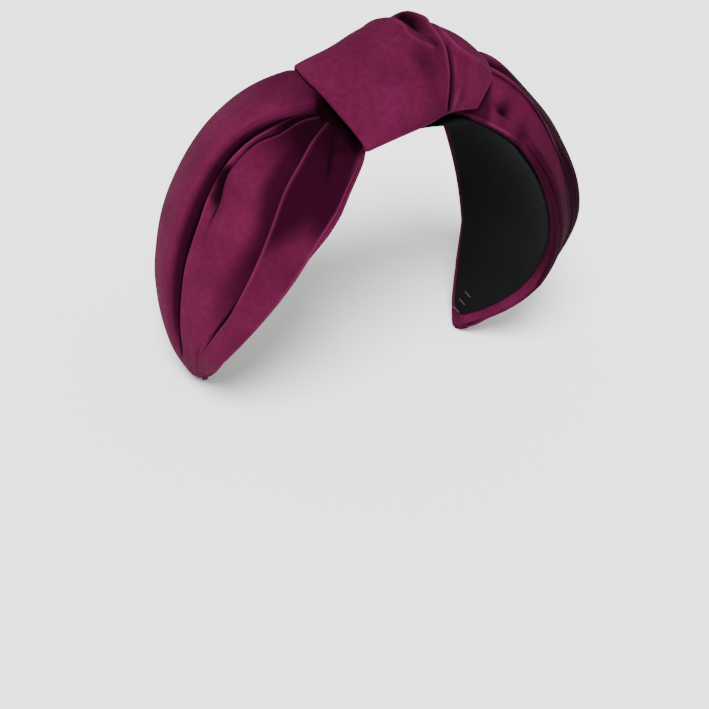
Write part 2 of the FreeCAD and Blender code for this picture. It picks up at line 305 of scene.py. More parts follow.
def add_bump(tree, height, strength, distance, **under):
    """The normal of a bump of height, over another bump's Normal if one is given."""
    inputs = {"Height": height, "Strength": strength, "Distance": distance, **under}
    return add_node(tree, "Bump", inputs)["Normal"]


def set_shader(tree, inputs):
    """Inputs of the material's main shader."""
    feed(tree, tree.nodes["Principled BSDF"], inputs)


PLUM_LOW = (0.048, 0.0034, 0.0180, 1.0)
PLUM_HIGH = (0.059, 0.0047, 0.0230, 1.0)
# Painted colours: broad shade where the pile or cloth lies away from the light, deep shade in folds,
# sheen on ridges.
PLUM_PAINTED_BROAD_SHADE = (0.0130, 0.0004, 0.0052, 1.0)
PLUM_PAINTED_DEEP_SHADE = (0.0022, 0.0001, 0.0009, 1.0)
PLUM_PAINTED_SHEEN = (0.100, 0.0120, 0.0430, 1.0)
SHEEN_TINT = (1.0, 0.30, 0.62, 1.0)
FLECKS = (1.25, 1.25, 1.25, 1.0)        # the base colour is multiplied by this at a light fleck
# Each mask's colour and how much of it shows: broad painted shade, painted shade in valleys and
# folds, and a painted sheen on ridges.
VELVET_MASKS = (("painted_broad_shade", PLUM_PAINTED_BROAD_SHADE, 1.0), ("valley", PLUM_PAINTED_DEEP_SHADE, 0.95),
                ("ridge", PLUM_PAINTED_SHEEN, 0.5))


def velvet_material():
    """Plum velvet in soft patches, with broad painted shade, painted shade in folds and a painted ridge
    sheen.
    """
    material, tree = new_material("velvet")
    broad = noise(tree, 45.0, 3.0)
    fine = noise(tree, 420.0, 4.0, 0.6)
    pile = noise(tree, 2600.0, 3.0, 0.7)
    base = mix_colours(tree, spread(tree, broad, 0.35, 0.68), PLUM_LOW, PLUM_HIGH)
    base = mix_colours(tree, spread(tree, fine, 0.30, 0.75), base, FLECKS, "MULTIPLY")
    for mask, colour, strength in VELVET_MASKS:
        shown = add_node(tree, "Attribute", {}, attribute_name=mask)["Fac"]
        scaled = add_node(tree, "Math", {0: shown, 1: strength}, operation="MULTIPLY")["Value"]
        base = mix_colours(tree, scaled, base, colour)
    piled = add_bump(tree, pile, 0.35, 0.0004)
    normal = add_bump(tree, fine, 0.25, 0.0006, Normal=piled)
    set_shader(tree, {"Base Color": base, "Normal": normal, "Roughness": 0.9,
                      "Specular IOR Level": 0.02, "Sheen Weight": 0.010,
                      "Sheen Roughness": 0.3, "Sheen Tint": SHEEN_TINT})
    return material


BLACK_LOW = (0.0016, 0.0016, 0.0018, 1.0)
BLACK_HIGH = (0.0042, 0.0040, 0.0046, 1.0)


def lining_material():
    """Black brushed facing with a fine nap."""
    material, tree = new_material("lining")
    nap = add_bump(tree, noise(tree, 1800.0, 4.0, 0.7), 0.5, 0.0003)
    base = mix_colours(tree, noise(tree, 60.0, 2.0), BLACK_LOW, BLACK_HIGH)
    set_shader(tree, {"Base Color": base, "Normal": nap, "Roughness": 0.95,
                      "Specular IOR Level": 0.04, "Sheen Weight": 0.01})
    return material


def plain_material(name, colour, roughness):
    """A plain finish with a faint mottle."""
    material, tree = new_material(name)
    darker = tuple(0.85 * channel for channel in colour)
    base = mix_colours(tree, noise(tree, 300.0, 2.0), (*darker, 1.0), (*colour, 1.0))
    set_shader(tree, {"Base Color": base, "Roughness": roughness})
    return material


FLOOR_WHITE = (0.94, 0.938, 0.932, 1.0)


def floor_material():
    """A plain pale floor."""
    material, tree = new_material("floor")
    set_shader(tree, {"Base Color": FLOOR_WHITE, "Roughness": 0.9, "Specular IOR Level": 0.2})
    return material


# Wings ----------------------------------------------------

# Half-width of each leaf behind and in front, by fraction of the wing's length.
BACK_WIDTHS = {
    RIGHT: ((-0.2, 18), (-0.06, 21.5), (0, 28.2), (0.08, 36.3), (0.14, 40.1), (0.2, 41.8), (0.3, 42.5),
            (0.4, 41.5), (0.54, 39), (0.7, 33.5), (0.8, 28.7), (0.87, 24.6), (0.94, 19.2), (1, 13.6),
            (1.05, 10)),
    LEFT: ((-0.2, 16), (-0.06, 20), (0, 25), (0.06, 30), (0.14, 37), (0.22, 41), (0.32, 42.5),
           (0.42, 42), (0.55, 39), (0.7, 32), (0.8, 25.5), (0.87, 20), (0.94, 13), (1, 7.5),
           (1.05, 3)),
}
FRONT_WIDTHS = {
    RIGHT: ((-0.2, 18), (-0.06, 22), (-0.02, 27.5), (0.02, 30.8), (0.08, 34.8), (0.13, 37.6),
            (0.18, 39.2), (0.23, 40.3), (0.3, 41.5), (0.4, 41.9), (0.54, 39.5), (0.7, 32.5),
            (0.8, 25.5), (0.87, 19), (0.94, 11.8), (1, 5.6), (1.05, 2)),
    LEFT: ((-0.2, 14), (-0.05, 18.5), (0, 21.5), (0.05, 24), (0.1, 26.5), (0.17, 30), (0.25, 32.2),
           (0.32, 33.8), (0.4, 35.6), (0.47, 35.6), (0.55, 33.8), (0.62, 31.5), (0.7, 28.5),
           (0.8, 23.5), (0.87, 18.5), (0.94, 12.5), (1, 7.5), (1.05, 3)),
}
SEAM_TOP = 9.5              # the seam at the edge hangs from this height by its half-width
SEAM_FALL = 108.0           # squared over this, like the head's curve,
SEAM_HIGHEST = 2.8          # stays at or below this height
SEAM_TIP_RISE = 2.0         # and rises this much at the tip
CLOSING_START = 0.97        # where the tip starts to round off, by fraction of the wing's length
INNER_END = -0.13           # where a wing's cloth ends inside the knot
UNDER_MIDDLE = 1.3          # lower face of the under ply in the middle, just above the lining
UNDER_FOOT = 1.6            # how far under the seam that ply's edges hang
LINING_CLOTH = 0.8          # thickness of the lining
LINING_MARGIN = 4.5         # how far the lining stays inside the leaf's outline
LINING_END = 0.992          # where it stops, by fraction of the wing's length
LINING_ROUND = 0.06         # length of its rounded end, by the same measure
CROWN_LINING = 22.0         # its half-width inside the knot


def closing(side, fraction):
    """1 along the leaf, falling in a quarter circle to 0 at its tip."""
    end = 1.0 + TIP_ROUND / wing_length(side)
    past = np.clip((fraction - CLOSING_START) / (end - CLOSING_START), 0.0, 1.0)
    return np.sqrt(np.maximum(1 - past ** 2, 0.0))


def front_width(side, fraction):
    """Half-width of the leaf in front, rounded off past the sleeve's end."""
    return through(FRONT_WIDTHS[side], fraction) * closing(side, fraction)


def back_width(side, fraction):
    """Half-width of the leaf behind, rounded off past the sleeve's end."""
    return through(BACK_WIDTHS[side], fraction) * closing(side, fraction)


def width_beside(side, fraction, across):
    """Half-width of the leaf on the side where across lies."""
    return np.where(across < 0, front_width(side, fraction), back_width(side, fraction))


def seam_height(fraction, half):
    """Height of the seam where the outer and under plies meet."""
    hanging = np.minimum(SEAM_TOP - half ** 2 / SEAM_FALL, SEAM_HIGHEST)
    return hanging + SEAM_TIP_RISE * ramp(fraction, 0.92, 1.03)


def curve_through(controls, samples):
    """Smooth curves through rows of (across, height) controls; samples is the count per span."""
    rows, count = controls.shape[:2]
    chord = np.linalg.norm(np.diff(controls, axis=1), axis=-1)
    knots = np.concatenate([np.zeros((rows, 1)), np.cumsum(np.sqrt(chord + 1e-6), axis=1)], axis=1)
    spans = np.diff(knots, axis=1)[..., None]
    slopes = np.diff(controls, axis=1) / spans
    tangents = np.empty_like(controls)
    tangents[:, 0], tangents[:, -1] = slopes[:, 0], slopes[:, -1]
    before, after = spans[:, :-1], spans[:, 1:]
    tangents[:, 1:-1] = (slopes[:, :-1] * after + slopes[:, 1:] * before) / (before + after)
    pieces = []
    for k in range(count - 1):
        share = np.linspace(0, 1, samples, endpoint=k == count - 2)[None, :, None]
        ends = (controls, controls[:, 1:], tangents, tangents[:, 1:])
        pieces.append(hermite(share, *(grid[:, k][:, None] for grid in (spans, *ends))))
    return np.concatenate(pieces, axis=1)


STROKE_STEPS = 8            # straight runs for each point of a fold line


def stroke(x, y, points):
    """The push of one fold over a plane: full on its line and fading across its width."""
    points = np.array(points, float)
    steps = np.linspace(0, len(points) - 1, STROKE_STEPS * len(points))
    order = np.arange(len(points))
    x0, y0, push0, width0 = (through(list(zip(order, points[:, k])), steps) for k in range(4))
    nearest = np.full(np.broadcast(x, y).shape, 1e9)
    push = np.zeros_like(nearest)
    for k in range(len(steps) - 1):
        run_x, run_y = x0[k + 1] - x0[k], y0[k + 1] - y0[k]
        share = ((x - x0[k]) * run_x + (y - y0[k]) * run_y) / (run_x ** 2 + run_y ** 2)
        share = np.clip(share, 0, 1)
        distance = np.hypot(x - x0[k] - share * run_x, y - y0[k] - share * run_y)
        width = width0[k] + (width0[k + 1] - width0[k]) * share
        amount = push0[k] + (push0[k + 1] - push0[k]) * share
        closer = distance < nearest
        push = np.where(closer, amount * bell(distance, width), push)
        nearest = np.minimum(nearest, distance)
    return push


# The right wing's upper folds: fraction of the wing's length and distance across of valley A, crest C,
# groove B and ridge B, or None where a line needs no point.
UPPER_LINES = (
    (-0.2, -5, -6, -7, -8), (0, -3.4, -4.6, -5.6, -6.6), (0.06, -0.6, -1.9, -3.4, -4.9),
    (0.125, 2.5, -0.6, -3, -4.9), (0.18, 4.4, 1.3, 0, -1.9), (0.22, 5.3, 1.9, 0.4, -1.5),
    (0.26, 5.4, 1.8, 0.2, -1.8), (0.285, None, None, -0.2, -2.3), (0.31, 4.7, 1, -1.5, -3.8),
    (0.34, 3.8, 0, -4, -6.3), (0.38, None, -1.5, -6, -8.3), (0.41, 2.1, -2.9, -7.1, -9.4),
    (0.47, 0.7, -4.5, -8.8, -11.2), (0.53, -0.3, -5.5, -10, -12.6), (0.6, -1.8, -6.8, -11.2, -14),
    (0.7, -3.7, -8, -11.6, -14.2), (0.8, -4.6, -7.8, -10.4, -12.4), (0.9, -3.2, -5, -6.6, -8),
    (1, -0.3, -1, -1.7, -2.4), (1.05, 0, -0.2, -0.4, -0.6),
)
VALLEY_A, CREST_C, GROOVE_B, RIDGE_B = (
    [(row[0], row[k]) for row in UPPER_LINES if row[k] is not None] for k in range(1, 5))
# Its lower valley.
VALLEY_V = ((-0.2, -10), (0, -8.4), (0.06, -13.4), (0.125, -19.2), (0.21, -24), (0.25, -26.2),
            (0.305, -28.6), (0.36, -30), (0.42, -30.5), (0.5, -30), (0.57, -28.6), (0.65, -25.5),
            (0.72, -22), (0.8, -17.6), (0.9, -11.2), (1, -4.2), (1.05, -1.4))

# Controls across the right wing from the back to the front. Each is a base line, a share of the
# way from it to a second line, a shift in mm, and a push above the plain arc by fraction.
RIGHT_FOLDS = (
    ("back", "a", 0.22, 0, ((-0.2, 0.5), (0.1, 1), (0.4, 1), (0.7, 0.9), (1, 0.4))),
    ("back", "a", 0.6, 0, ((-0.2, 0), (0, -0.4), (0.1, 1), (0.3, 1.6), (0.6, 1.5), (1, 0.4))),
    ("a", "back", 0, 4.2, ((-0.2, -0.5), (0, -0.2), (0.1, 0.9), (0.3, 2.2), (0.6, 2), (0.8, 1.2),
     (0.92, 0.2))),
    ("a", "back", 0, 1.7, ((-0.2, -3), (0, -1.8), (0.1, -0.2), (0.3, 0.7), (0.6, 0.6), (0.8, 0.5),
     (0.92, 0))),
    ("a", "back", 0, 0.2, ((-0.2, -4.4), (0, -3.8), (0.1, -2.2), (0.2, -2.4), (0.3, -3.8), (0.6, -3.8),
     (0.75, -2.2), (0.9, 0))),
    ("c", "a", 0, 1, ((-0.2, -3.6), (0, -3), (0.1, -1.8), (0.2, -1.6), (0.4, -1.6), (0.6, -1.4),
     (0.75, -0.8), (0.9, 0))),
    ("c", "b", 0, 0.5, ((-0.2, -3), (0, -2), (0.1, -0.6), (0.2, -0.3), (0.3, -0.2), (0.45, -0.1),
     (0.6, 0.1), (0.9, 0))),
    ("g", "c", 0, 0.1, ((-0.2, -4), (0, -3.4), (0.1, -2.2), (0.18, -2), (0.27, -2.8), (0.33, -4),
     (0.36, -2.8), (0.4, -1), (0.46, -0.3), (0.6, 0), (1, 0))),
    ("b", "g", 0, 0.2, ((-0.2, -3.6), (0, -2.6), (0.06, -1.2), (0.15, -0.3), (0.28, 0), (0.34, -0.4),
     (0.42, 0), (0.55, 0.2), (1, 0))),
    ("b", "v", 0.4, 0, ((-0.2, -4), (0, -3.6), (0.06, -2.2), (0.15, -0.4), (0.3, 0.9), (0.5, 1.2),
     (0.7, 0.7), (1, 0))),
    ("b", "v", 0.72, 0, ((-0.2, -5), (0, -4.4), (0.1, -3.4), (0.3, -1.4), (0.45, -0.4), (0.6, -0.4),
     (0.75, 0))),
    ("v", "front", 0, 0.7, ((-0.2, -6), (0, -5.6), (0.1, -6), (0.3, -5.8), (0.45, -4.4), (0.55, -3.2),
     (0.65, -1.2), (0.75, 0))),
    ("v", "front", 0, -0.3, ((-0.2, -4), (0, -3.2), (0.1, -1.4), (0.3, -1), (0.45, -1.8), (0.55, -2),
     (0.65, -0.8), (0.75, 0))),
    ("v", "front", 0.03, -0.9, ((-0.2, -3), (0, -2), (0.1, 2.2), (0.3, 2.6), (0.45, 1.2), (0.55, 0.3),
     (0.75, 0.2), (0.9, 0))),
    ("v", "front", 0.3, -1, ((-0.2, -3), (0, -2.4), (0.1, 1.2), (0.3, 1.8), (0.5, 1.5), (0.7, 0.9),
     (1, 0))),
    ("v", "front", 0.68, 0, ((-0.2, -2), (0, -1.6), (0.1, 0.4), (0.3, 1.3), (0.6, 1.2), (1, 0.2))),
)

# Fold lines of the left wing, which stands up in a high ridge.
LEFT_A = ((-0.2, 0), (0, -1.5), (0.1, 0.5), (0.2, 3), (0.45, 6), (0.7, 4), (0.9, 2), (1.05, 0.4))
LEFT_B = ((-0.2, -4), (0, -5), (0.06, -7.5), (0.13, -12), (0.25, -17.5), (0.35, -20.5), (0.45, -21),
          (0.7, -13), (0.9, -4), (1.05, -0.4))
LEFT_V = ((-0.2, -7), (0, -8.5), (0.068, -11.5), (0.116, -16.5), (0.197, -21.3), (0.286, -25.7),
          (0.352, -28.8), (0.42, -30.3), (0.5, -29.3), (0.6, -26), (0.7, -21.5), (0.8, -16),
          (0.9, -9.5), (1, -4), (1.05, -1.2))
LEFT_FOLDS = (
    ("back", "a", 0.22, 0, ((-0.2, 0), (0.1, 1.2), (0.4, 2), (0.7, 1), (1, 0.2))),
    ("back", "a", 0.5, 0, ((-0.2, -1), (0, -0.8), (0.1, 0.6), (0.4, 1.4), (0.7, 1), (1, 0.2))),
    ("back", "a", 0.8, 0, ((-0.2, -2), (0, 0.8), (0.1, 0.2), (0.4, 0.6), (0.7, 0.5), (1, 0.1))),
    ("a", "back", 0, 0.8, ((-0.2, -1), (0, 2.4), (0.1, 1.2), (0.18, 0.5), (0.4, 0.6), (0.8, 0))),
    ("a", "b", 0, -0.8, ((-0.2, -2), (0, 0.2), (0.1, 0.6), (0.18, 0.5), (0.4, 0.8), (0.8, 0))),
    ("a", "b", 0.5, 0, ((-0.2, -3), (0, -2.4), (0.08, -1.8), (0.18, 0), (0.4, 1.4), (0.8, 0.4))),
    ("b", "a", 0, 0.5, ((-0.2, -1), (0, 0.4), (0.1, 0.9), (0.2, 1.2), (0.3, 2.2), (0.45, 3.9),
     (0.6, 3.4), (0.75, 1.2), (1, 0.2))),
    ("b", "a", 0, -0.5, ((-0.2, -1), (0, 0.4), (0.1, 0.9), (0.2, 1.2), (0.3, 2.2), (0.45, 4),
     (0.6, 3.4), (0.75, 1.2), (1, 0.2))),
    ("b", "v", 0.5, 0, ((-0.2, -3), (0, -1.6), (0.06, -1.4), (0.13, 0.6), (0.25, 2.2), (0.3, 2.8),
     (0.45, 4.2), (0.6, 3.2), (0.75, 1.2), (1, 0.2))),
    ("v", "b", 0, 0.6, ((-0.2, 0.5), (0, 1.2), (0.07, 1.4), (0.116, 3), (0.2, 2.4), (0.3, 1.7),
     (0.4, 1.6), (0.5, 1.8), (0.7, 0.8), (1, 0.2))),
    ("v", "front", 0, 0.6, ((-0.2, 0.2), (0, 0.8), (0.07, 1), (0.116, 2.4), (0.2, 2), (0.3, 1.5),
     (0.4, 1.2), (0.5, 1.2), (0.7, 0.6), (1, 0.2))),
    ("v", "front", 0.3, 0, ((-0.2, 0), (0, 0.4), (0.1, 1.2), (0.25, 1.2), (0.5, 0.3), (1, 0.1))),
    ("v", "front", 0.62, 0, ((-0.2, 0), (0, 0.2), (0.1, 0.8), (0.25, 1), (0.5, 0.6), (1, 0.1))),
    ("v", "front", 0.85, 0, ((-0.2, -0.5), (0, 0.2), (0.1, 0.6), (0.25, 0.8), (0.5, 0.6), (1, 0))),
)

# The gather that runs from the mouth to the front edge.
PANEL_GATHER = ((-0.2, -9), (-0.02, -12), (0.005, -14.1), (0.045, -20.6), (0.085, -26.5), (0.138, -32),
                (0.2, -36), (1.05, -36))

# Small dents and creases: (fraction, across, push outwards, width) along each.
RIGHT_DENTS = (
    # faint gathers in the front panel
    ((-0.02, -12, -1.2, 1.4), (0.005, -14.1, -1.3, 1.5), (0.045, -20.6, -1.2, 1.7),
     (0.085, -26.5, -0.8, 2), (0.138, -32, 0, 2.4)),
    ((-0.02, -20, -0.6, 1.6), (0.04, -25.5, -0.5, 1.8), (0.08, -29.5, 0, 2)),
    # a soft crease low in the middle panel
    ((0.48, -18.5, 0, 2.8), (0.54, -20.5, -0.8, 3), (0.61, -20, -1.1, 3), (0.68, -17.5, -0.6, 3),
     (0.74, -15, 0, 3)),
)
LEFT_DENTS = (
    ((-0.03, -12, -0.4, 1.8), (0.015, -15, -1.3, 2), (0.04, -18, -2.4, 2), (0.055, -20.5, -1.4, 2),
     (0.07, -23, 0, 2.2)),
    ((0.05, -26, 0, 2.4), (0.09, -24.5, -1, 2.6), (0.14, -26, -1, 2.8), (0.2, -29, 0, 3)),
)

# Each wing's height in the middle by fraction, its fold lines, controls, dents and seed.
WINGS = {
    RIGHT: {"tops": ((-0.2, 9.6), (0, 10.4), (0.1, 10.7), (0.5, 10.6), (0.8, 10.6), (1, 9.4),
                     (1.05, 7.5)),
            "lines": {"a": VALLEY_A, "c": CREST_C, "g": GROOVE_B, "b": RIDGE_B, "v": VALLEY_V},
            "folds": RIGHT_FOLDS, "dents": RIGHT_DENTS, "seed": 3},
    LEFT: {"tops": ((-0.2, 14.5), (0, 17.8), (0.06, 18), (0.15, 17.6), (0.3, 18.3), (0.45, 20.6),
                    (0.55, 22.4), (0.7, 19.6), (0.85, 12.2), (1, 8.8), (1.05, 7)),
           "lines": {"a": LEFT_A, "b": LEFT_B, "v": LEFT_V}, "folds": LEFT_FOLDS,
           "dents": LEFT_DENTS, "seed": 11},
}

# How far towards the front edge each fold line may run, as a share of the half-width.
LINE_LIMITS = {"a": 0.20, "c": 0.34, "g": 0.48, "b": 0.60, "v": 0.74}

# The rolled edge: mm inside the leaf's outline and mm above the seam, from the under ply out.
ROLLED_EDGE = ((2.4, -0.5), (0.5, -0.4), (0.0, 0.3), (0.9, 1.7))
FULL_EDGE = 12.0            # half-width of the leaf from which the edge has its full size
LEAST_EDGE = 0.10           # and its smallest share at the tip
EDGE_CLEARANCE = 1.3        # how far the folds stay inside the outline
RIM_LIFT = 1.0              # height of the plain arc above the seam at the outline
ARC_POWER = 2.1             # how squarely that arc falls to it
CORE_FLOOR = 6.1            # lowest outer face over the stiff core,
SIDE_FLOOR = 1.0            # and beside it
CORE_HALF = 13.0            # half-width kept clear for the core at the knot,
CORE_TAPER = 8.5            # less this much at the tip,
CORE_SLOPE = 3.0            # with a slope this wide
FLOOR_SHARPNESS = 2.5       # how sharply a fold stops at the floor, in 1/mm


def clear_core(fraction, across, height):
    """Keeps the folds' floors above the stiff core and the ply below."""
    core = CORE_HALF - CORE_TAPER * ramp(fraction, 0.3, 1.0)
    beside = SIDE_FLOOR - across ** 2 / SEAM_FALL
    raised = ramp(core + CORE_SLOPE - np.abs(across), 0.0, CORE_SLOPE)
    raised = raised * (1 - ramp(fraction, 1.0, 1.02))
    floor = beside + (CORE_FLOOR - beside) * raised
    return floor + np.logaddexp(0.0, (height - floor) * FLOOR_SHARPNESS) / FLOOR_SHARPNESS


def plain_arc(side, fraction, across):
    """Height of an unfolded wing: an arc from the top down to the seams."""
    half = np.maximum(width_beside(side, fraction, across), 0.5)
    foot = seam_height(fraction, half) + RIM_LIFT
    top = foot + (through(WINGS[side]["tops"], fraction) - foot) * closing(side, fraction)
    return top + (foot - top) * np.clip(np.abs(across) / half, 0, 1) ** ARC_POWER


def wing_controls(side, fraction):
    """Rows of (across, height) controls of the folded outer ply, from the back to the front."""
    wing = WINGS[side]
    back, front = back_width(side, fraction), front_width(side, fraction)
    lines = {name: np.maximum(through(table, fraction), -LINE_LIMITS[name] * front)
             for name, table in wing["lines"].items()}
    lines.update(back=back, front=-front)
    edges = []
    for sign, half in ((1, back), (-1, front)):
        scale = np.clip(half / FULL_EDGE, LEAST_EDGE, 1.0)
        seam = seam_height(fraction, half)
        edges.append([(sign * (half - inset * scale), seam + rise) for inset, rise in ROLLED_EDGE])
    body = []
    scale = np.clip(np.minimum(back, front) / FULL_EDGE, LEAST_EDGE, 1.0)
    inset = EDGE_CLEARANCE * scale
    for base, other, share, shift, push in wing["folds"]:
        across = lines[base] + (lines[other] - lines[base]) * share + shift * scale
        across = np.clip(across, inset - front, back - inset)
        height = plain_arc(side, fraction, across) + through(push, fraction)
        body.append((across, clear_core(fraction, across, height)))
    ordered = edges[0] + body + edges[1][::-1]
    return np.stack([np.stack(pair, axis=-1) for pair in ordered], axis=1)


UNEVENNESS = 0.30           # soft unevenness of a wing's cloth


def wing_outer(side, material, rows=234, samples=9):
    """The velvet over a wing, from inside the knot to the closed tip, its edges turned under."""
    wing = WINGS[side]
    length = wing_length(side)
    end = 1.0 + TIP_ROUND / length - 1e-4
    fraction = np.linspace(INNER_END, end, rows)
    curves = curve_through(wing_controls(side, fraction), samples)
    curves = soften(curves, 2, axes=(0,))
    across, height = curves[..., 0], curves[..., 1]
    fraction = fraction[:, None]
    push = UNEVENNESS * waves(fraction * 14, across * 0.11, wing["seed"])
    for dent in wing["dents"]:
        line = [(f * length, y, amount, width) for f, y, amount, width in dent]
        push = push + stroke(fraction * length, across, line)
    inside = ramp(front_width(side, fraction) - np.abs(across), 0.5, 4.0)
    lifted = clear_core(fraction, across, height + push * inside)
    height = height + (lifted - height) * inside
    points = band(side, station_at(side, fraction), across, height)
    name = f"{SIDE_NAMES[side]}_wing_velvet"
    # The masks carry broad painted shade, painted fold shade and where a painted sheen may show.
    return sheet_mesh(name, points, CLOTH, material, -side,
                      {"painted_broad_shade": PAINTED_SHADE_BY_SIDE[side](fraction, across),
                       "shaded": SHADED[side](fraction, across),
                       "painted_sheen_allowed": painted_sheen_places(side, fraction, across)})


def painted_sheen_places(side, fraction, across):
    """Where folds may show a painted sheen: everywhere but along the left wing's front rim."""
    if side == RIGHT:
        return np.ones_like(across)
    inside = ramp(across + front_width(side, fraction), 2.5, 6.0)
    return 1 - (1 - inside) * ramp(fraction, 0.04, 0.12)


def left_painted_darkening(fraction, across):
    """Broad painted shade of the left wing behind its valley, along its front strip and at its rim."""
    lit_ridges = 0.0
    for line, end in ((LEFT_A, 0.18), (LEFT_B, 0.15)):
        ridge = bell(across - through(line, fraction), 0.7)
        lit_ridges = lit_ridges + ridge * (1 - ramp(fraction, end - 0.06, end + 0.04))
    reach = 14.0 * (1 - ramp(fraction, 0.10, 0.25))
    beyond = ramp(across - through(LEFT_V, fraction), 0.2, 1.6)
    beyond = beyond * (1 - ramp(across - reach, -18.0, 20.0)) * (1 - ramp(fraction, 0.6, 0.8))
    front = 0.2 + 0.35 * ramp(fraction, 0.12, 0.26) + 0.35 * ramp(fraction, 0.30, 0.45)
    front = front * (1 - ramp(across, -6.0, 0.0)) * (1 - ramp(fraction, 0.55, 0.75))
    rim = 1 - ramp(across + front_width(LEFT, fraction), 1.5, 5.0)
    rim = 0.9 * rim * window(fraction, 0.05, 0.2, 0.7, 0.9)
    dark = np.maximum.reduce([beyond, front, rim])
    return dark * (1 - 0.8 * np.clip(lit_ridges, 0, 1))


def right_painted_darkening(fraction, across):
    """Broad painted shade of the right wing on its front panel, beside the valley and along the back
    folds.
    """
    behind = across - through(VALLEY_V, fraction)
    ahead = -behind
    behind_a = across - through(VALLEY_A, fraction)
    behind_b = across - through(RIDGE_B, fraction)
    # the panel in front of the valley, down to a slanting limit, and more faintly below it
    limit = 0.41 - 0.014 * np.clip(ahead, 0, 11)
    panel = 1 - ramp(fraction, limit - 0.08, limit + 0.07)
    low_panel = 0.40 * window(ahead, 1.0, 3.0, 8.0, 18.0) * window(fraction, 0.0, 0.2, 0.36, 0.52)
    panel = np.maximum(panel, low_panel) * ramp(ahead, -0.2, 1.6)
    panel = panel * ramp(across + front_width(RIGHT, fraction), 0.0, 0.8)
    # the slope that falls into the valley from behind, wider near the knot
    wider = 4.0 * window(fraction, 0.0, 0.08, 0.22, 0.36)
    slope = ramp(behind, -0.6, 0.0) * (1 - ramp(behind - wider, 3.0, 9.0))
    slope = slope * window(fraction, -0.1, 0.0, 0.35, 0.75)
    # the middle panel near the knot
    between = ramp(behind, -1.0, 1.0) * window(across, -40, -30, -5, 1)
    between = between * window(fraction, -0.1, 0.0, 0.10, 0.27)
    # the strip between the two upper folds, and the roll's lower side
    strip = ramp(behind_b, -0.5, 0.5) * (1 - ramp(behind_a, 0, 1))
    strip = strip * window(fraction, -0.1, 0.0, 0.10, 0.22)
    roll = ramp(across - through(CREST_C, fraction), 0.3, 1.1) * (1 - ramp(behind_a, 0.6, 4.2))
    roll = roll * window(fraction, 0.0, 0.2, 0.72, 0.90)
    mouth = 0.5 * window(fraction, -0.2, -0.1, 0.0, 0.14)
    dark = np.maximum.reduce([panel, 0.9 * slope, 0.85 * between, 0.9 * strip, 0.9 * roll])
    lit_ridge = bell(behind_b, 0.5) * window(fraction, 0.0, 0.05, 0.2, 0.3)
    return np.clip((dark + mouth) * (1 - 0.7 * lit_ridge), 0, 1)


# Dimples of the left wing's front strip: fraction, distance across, depth of painted shade, width in
# mm.
LEFT_DIMPLES = ((0.045, -19.0, 1.0, 2.8), (0.105, -25.5, 0.6, 3.2))


def left_shade(fraction, across):
    """Painted shade of the left wing's mouth, dimples and outer band."""
    shade = 0.7 * window(fraction, -0.2, -0.1, -0.01, 0.02) * np.ones_like(across)
    for place, line, depth, width in LEFT_DIMPLES:
        away = np.hypot((fraction - place) * wing_length(LEFT), across - line)
        shade = np.maximum(shade, depth * bell(away, width))
    behind = across - through(LEFT_V, fraction)
    outer_band = 0.5 * ramp(behind, 0.6, 2.0) * (1 - ramp(across, -24.0, 6.0))
    return np.maximum(shade, outer_band * window(fraction, 0.05, 0.2, 0.6, 0.8))


def right_shade(fraction, across):
    """Painted shade of the right wing's mouth, its gather, the upper folds' groove and the valley."""
    behind_v = across - through(VALLEY_V, fraction)
    soft = ramp(0.03 + 0.06 * window(across, -26, -20, -6, -1) - fraction, 0.0, 0.05)
    deep = ramp(0.012 + 0.022 * window(across, -14, -8, -4, 0) - fraction, 0.0, 0.02)
    mouth = np.maximum(0.45 * soft, deep) * window(across, -31, -25, -1, 8)
    gather = 0.9 * bell(across - through(PANEL_GATHER, fraction), 1.1)
    gather = gather * window(fraction, -0.05, 0.0, 0.06, 0.13)
    # the folds behind the valley, near the knot, deepest in the strip between the upper two
    in_front_of_a = 1 - ramp(across - through(VALLEY_A, fraction), 0, 1)
    near = 0.65 * window(fraction, -0.1, 0.0, 0.05, 0.18) * ramp(behind_v, -0.5, 0.5) * in_front_of_a
    strip = ramp(across - through(RIDGE_B, fraction), -0.5, 0.5) * in_front_of_a
    strip = 0.88 * strip * window(fraction, -0.1, 0.0, 0.08, 0.18)
    # the groove between the upper folds, with a painted dark pocket a third of the way down
    wide = window(fraction, 0.25, 0.31, 0.35, 0.40)
    groove = bell(across - through(GROOVE_B, fraction) - 1.6 * wide, 0.9 + 2.8 * wide)
    groove = groove * (0.6 + 0.4 * window(fraction, 0.24, 0.28, 0.36, 0.39))
    groove = groove * window(fraction, 0.0, 0.05, 0.35, 0.41)
    crease = 0.9 * bell(behind_v - 0.9, 1.4) * window(fraction, 0.10, 0.2, 0.34, 0.46)
    return np.clip(np.maximum.reduce([mouth, gather, near, strip, groove, crease]), 0, 1)


# Broad painted shade of each wing, where its pile lies away from the light or its cloth faces away,
# and painted deep shade under the knot and in its folds.
PAINTED_SHADE_BY_SIDE = {RIGHT: right_painted_darkening, LEFT: left_painted_darkening}
SHADED = {RIGHT: right_shade, LEFT: left_shade}

UNDER_INSET = 0.5           # how far the under ply's edge stays inside the leaf's outline,
UNDER_SHOWING = {RIGHT: 1.5, LEFT: -0.8}    # and how much further out it reaches near the knot
# Painted shade on the under ply's sliver: the left one is darkened, the right one not.
UNDER_SHADE = {RIGHT: 0.0, LEFT: 0.6}


